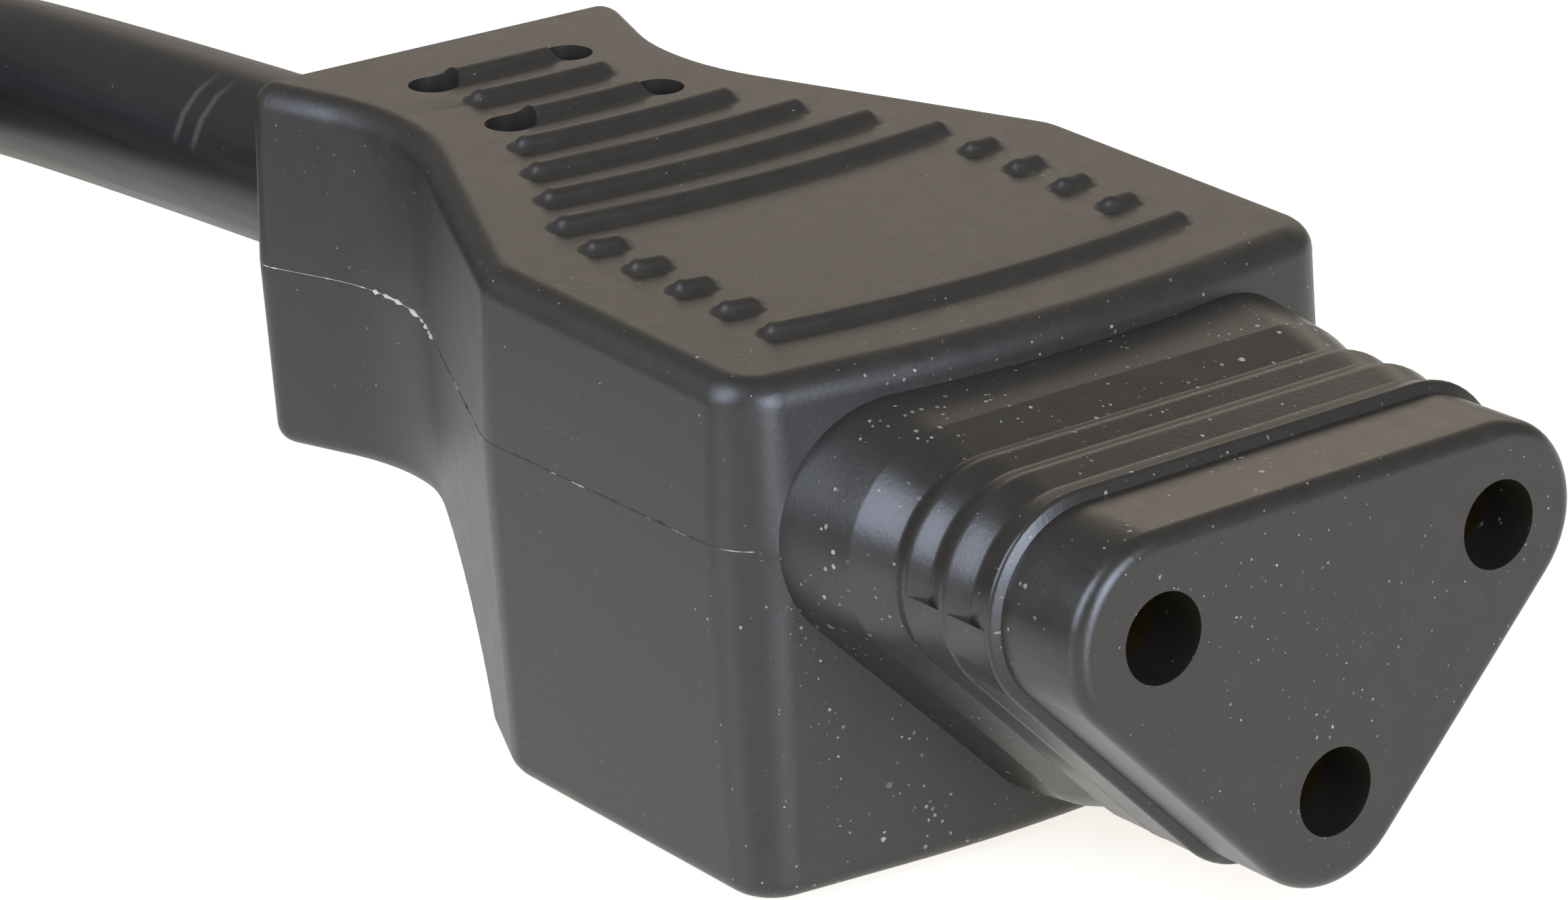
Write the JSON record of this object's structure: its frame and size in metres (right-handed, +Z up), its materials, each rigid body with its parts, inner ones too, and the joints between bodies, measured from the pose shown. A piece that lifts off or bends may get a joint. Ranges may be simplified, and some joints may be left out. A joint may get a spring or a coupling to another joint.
{
  "type": "power cord",
  "caption": "Power cord: a moulded connector with a block, a ribbed nose with round pin sockets and a grip-marked neck, on a round flexible cord that ends in a round-pin plug.",
  "frame": {"origin": "middle of the connector's box on the surface it rests on", "axes": "+X out of the pin sockets along the connector, +Z up from its floor to its grip-marked top"},
  "size_m": [0.2286, 0.1337, 0.0296],
  "materials": {
    "moulding": "satin moulded rubber",
    "jacket": "satin extruded rubber",
    "contact": "turned",
    "strands": "bright copper strands",
    "core_line": "brown insulation",
    "core_neutral": "blue insulation",
    "core_earth": "green and yellow insulation",
    "sleeve": "black sleeve",
    "tie": "black strap"
  },
  "bodies": {
    "root": {"connector_body": "moulding", "contact_line": "contact", "contact_neutral": "contact", "contact_earth": "contact", "connector_core_line": "core_line", "connector_core_neutral": "core_neutral", "connector_core_earth": "core_earth", "connector_strands_line": "strands", "connector_strands_neutral": "strands", "connector_strands_earth": "strands", "cord_run": "jacket", "cord_coil": "jacket", "cord_tail": "jacket", "cord_tie": "tie", "plug_body": "moulding", "plug_pin_line": "contact", "plug_pin_neutral": "contact", "plug_pin_earth": "contact", "pin_sleeve_line": "sleeve", "pin_sleeve_neutral": "sleeve", "plug_core_line": "core_line", "plug_core_neutral": "core_neutral", "plug_core_earth": "core_earth", "plug_strands_line": "strands", "plug_strands_neutral": "strands", "plug_strands_earth": "strands"}
  },
  "joints": []
}
